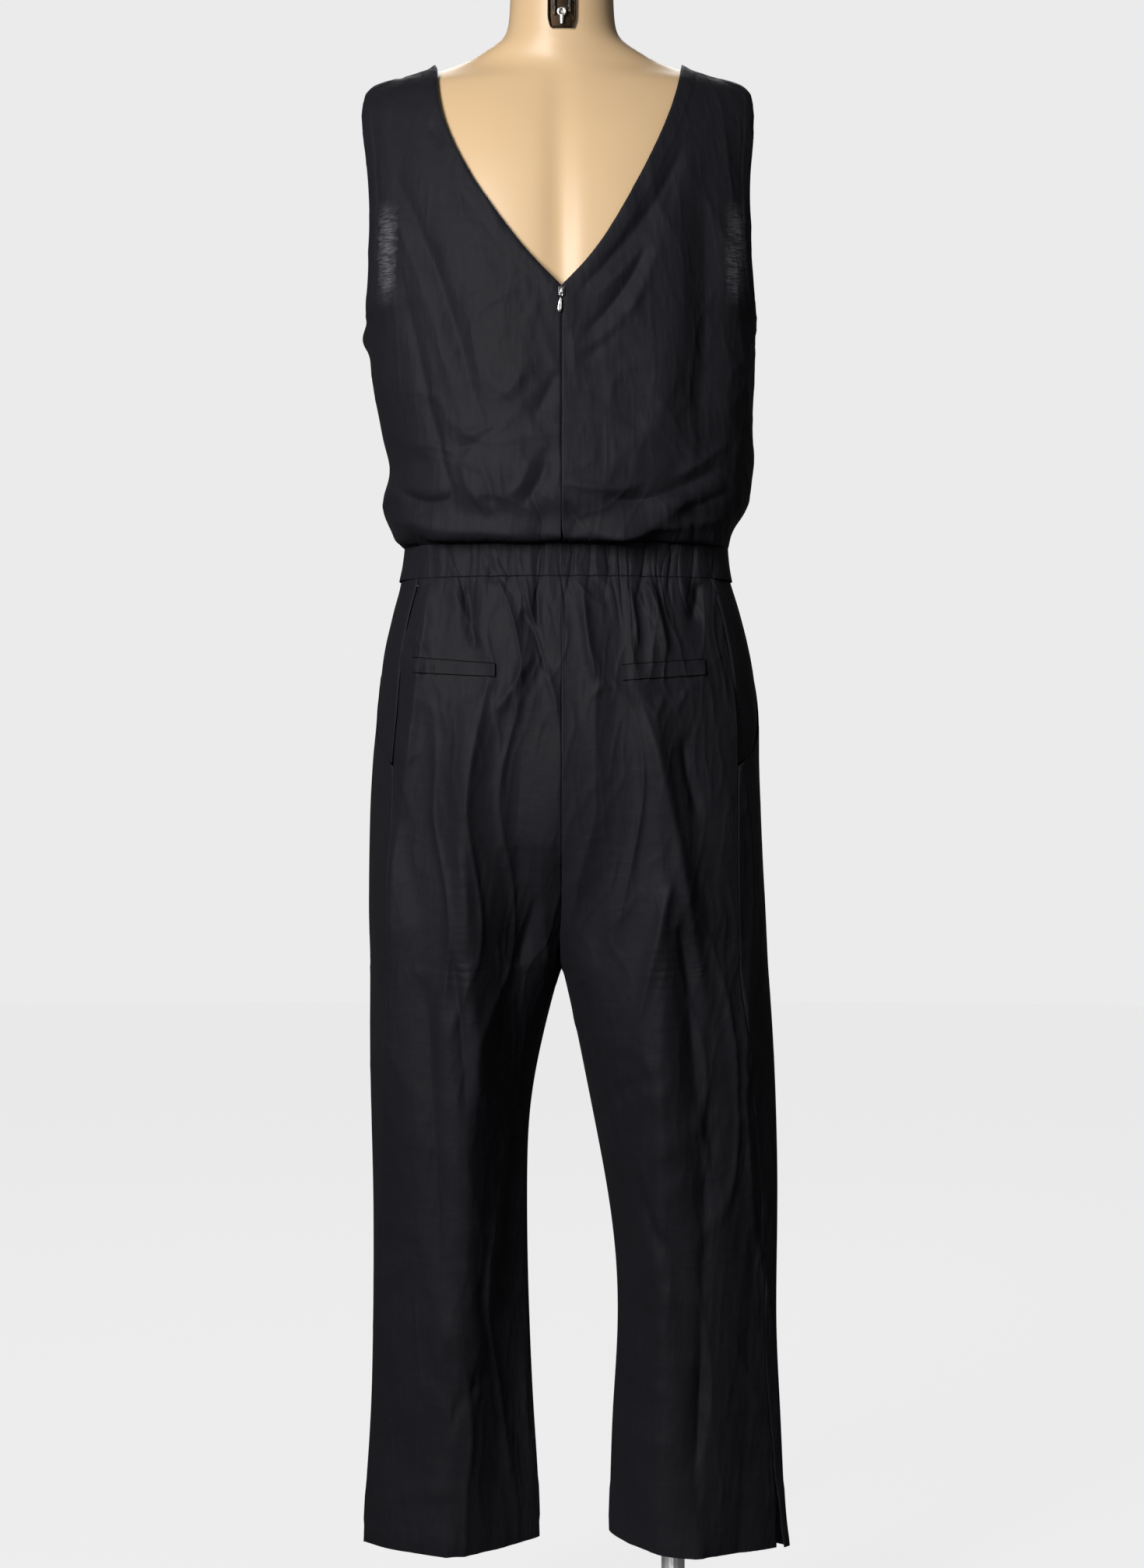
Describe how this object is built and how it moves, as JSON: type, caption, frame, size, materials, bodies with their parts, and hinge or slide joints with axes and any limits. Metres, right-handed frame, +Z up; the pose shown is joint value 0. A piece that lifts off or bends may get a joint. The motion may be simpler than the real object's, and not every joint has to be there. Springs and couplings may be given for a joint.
{
  "type": "sleeveless jumpsuit on a limbless dress form",
  "caption": "Sleeveless V-back jumpsuit with a gathered waist and straight trousers, worn by a limbless dress form on a pole and a round base.",
  "frame": {"origin": "centre of the base plate's underside, on the floor", "axes": "+Z up along the form, +X towards the wearer's left, +Y behind the wearer"},
  "size_m": [0.4057, 0.38, 1.6163],
  "materials": {
    "cloth": "matt black woven cloth with a faint satin lustre, a little sheer",
    "zip_tape": "black woven zip tape",
    "zip_metal": "bright silver zip metal",
    "form_shell": "tan moulded shell, soft gloss",
    "bronze": "dark bronze plated metal",
    "steel": "satin brushed steel"
  },
  "bodies": {
    "garment_and_form": {"bodice_back_left": "cloth", "bodice_back_right": "cloth", "bodice_front": "cloth", "waistband_back_left": "cloth", "waistband_back_right": "cloth", "waistband_front": "cloth", "trouser_back_left": "cloth", "trouser_back_right": "cloth", "trouser_front_left": "cloth", "trouser_front_right": "cloth", "pocket_facing_left": "cloth", "pocket_facing_right": "cloth", "welt_left": "cloth", "welt_right": "cloth", "zip_tape": "zip_tape", "zip_slider": "zip_metal", "dress_form": "form_shell", "nape_plate": "bronze", "nape_bolt": "bronze", "nape_loop": "bronze", "neck_cap": "bronze", "stand_base": "steel", "stand_pole": "steel", "stand_collar": "bronze", "stand_flange": "bronze"},
    "zip_pull_tab": {"zip_pull": "zip_metal"}
  },
  "joints": [
    {"name": "zip_pull_hinge", "type": "hinge", "parent": "garment_and_form", "child": "zip_pull_tab", "pos_m": [0, 0.1214, 1.26575], "axis": [1, 0, 0], "range_deg": [0, 150]}
  ]
}
